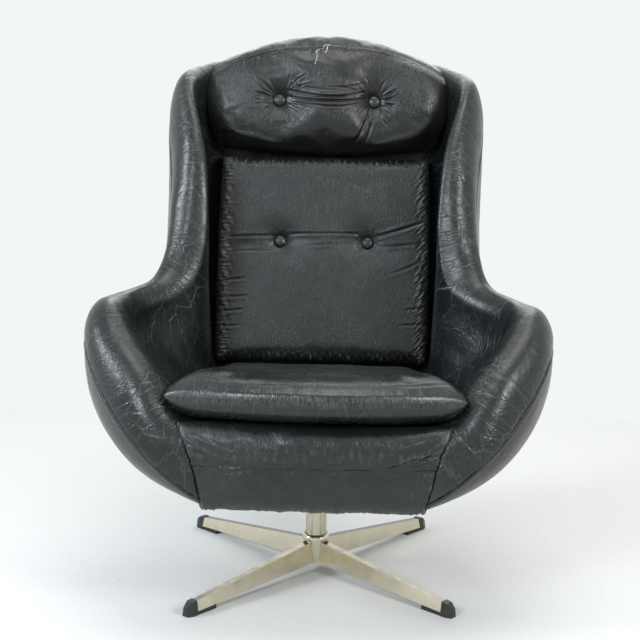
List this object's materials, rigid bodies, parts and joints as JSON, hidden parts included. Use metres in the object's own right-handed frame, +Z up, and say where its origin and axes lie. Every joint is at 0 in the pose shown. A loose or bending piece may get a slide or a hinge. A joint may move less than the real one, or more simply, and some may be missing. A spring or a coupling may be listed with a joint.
{
  "type": "swivel armchair",
  "caption": "Padded tub armchair with wings, loose seat cushion, tufted back and head cushions, on a swivel column with a star base of folded metal legs.",
  "frame": {"origin": "on the floor at the swivel axis, at the middle of the star base", "axes": "+Z up along the swivel axis, the chair faces -Y, +X to the right seen from its front"},
  "size_m": [0.8056, 0.7637, 1.002],
  "materials": {
    "leatherette": "embossed, satin",
    "foam": "foam",
    "plated_steel": "plated, slightly satin",
    "painted_steel": "satin",
    "bare_steel": "turned",
    "cap_plastic": "moulded",
    "nylon": "moulded",
    "plywood": "raw",
    "shell_plastic": "rough"
  },
  "bodies": {
    "base": {"hub_tube": "plated_steel", "column_tube": "plated_steel", "column_collar": "plated_steel", "lower_bush": "nylon", "upper_bush": "nylon", "star_leg_rear_right": "plated_steel", "star_leg_rear_left": "plated_steel", "star_leg_front_left": "plated_steel", "star_leg_front_right": "plated_steel", "foot_cap_rear_right": "cap_plastic", "foot_cap_rear_left": "cap_plastic", "foot_cap_front_left": "cap_plastic", "foot_cap_front_right": "cap_plastic"},
    "seat": {"spindle": "bare_steel", "retaining_washer": "bare_steel", "retaining_screw": "bare_steel", "seat_plate": "painted_steel", "plate_bolts": "bare_steel", "mounting_block": "plywood", "centre_foam": "foam", "front_rail": "plywood", "deck_cover": "leatherette", "outer_cover": "leatherette", "tub_shell": "shell_plastic", "tub_padding": "leatherette", "front_apron": "leatherette", "back_cushion": "leatherette", "head_cushion": "leatherette", "back_button_left": "leatherette", "back_button_right": "leatherette", "head_button_left": "leatherette", "head_button_right": "leatherette"},
    "seat_cushion": {"seat_cushion": "leatherette"}
  },
  "joints": [
    {"name": "swivel", "type": "hinge", "parent": "base", "child": "seat", "pos_m": [0, 0, 0.15], "axis": [0, 0, 1], "continuous": true},
    {"name": "cushion_lift", "type": "slide", "parent": "seat", "child": "seat_cushion", "axis": [0, -0.3011, 0.9536], "range_m": [0, 0.3]}
  ]
}
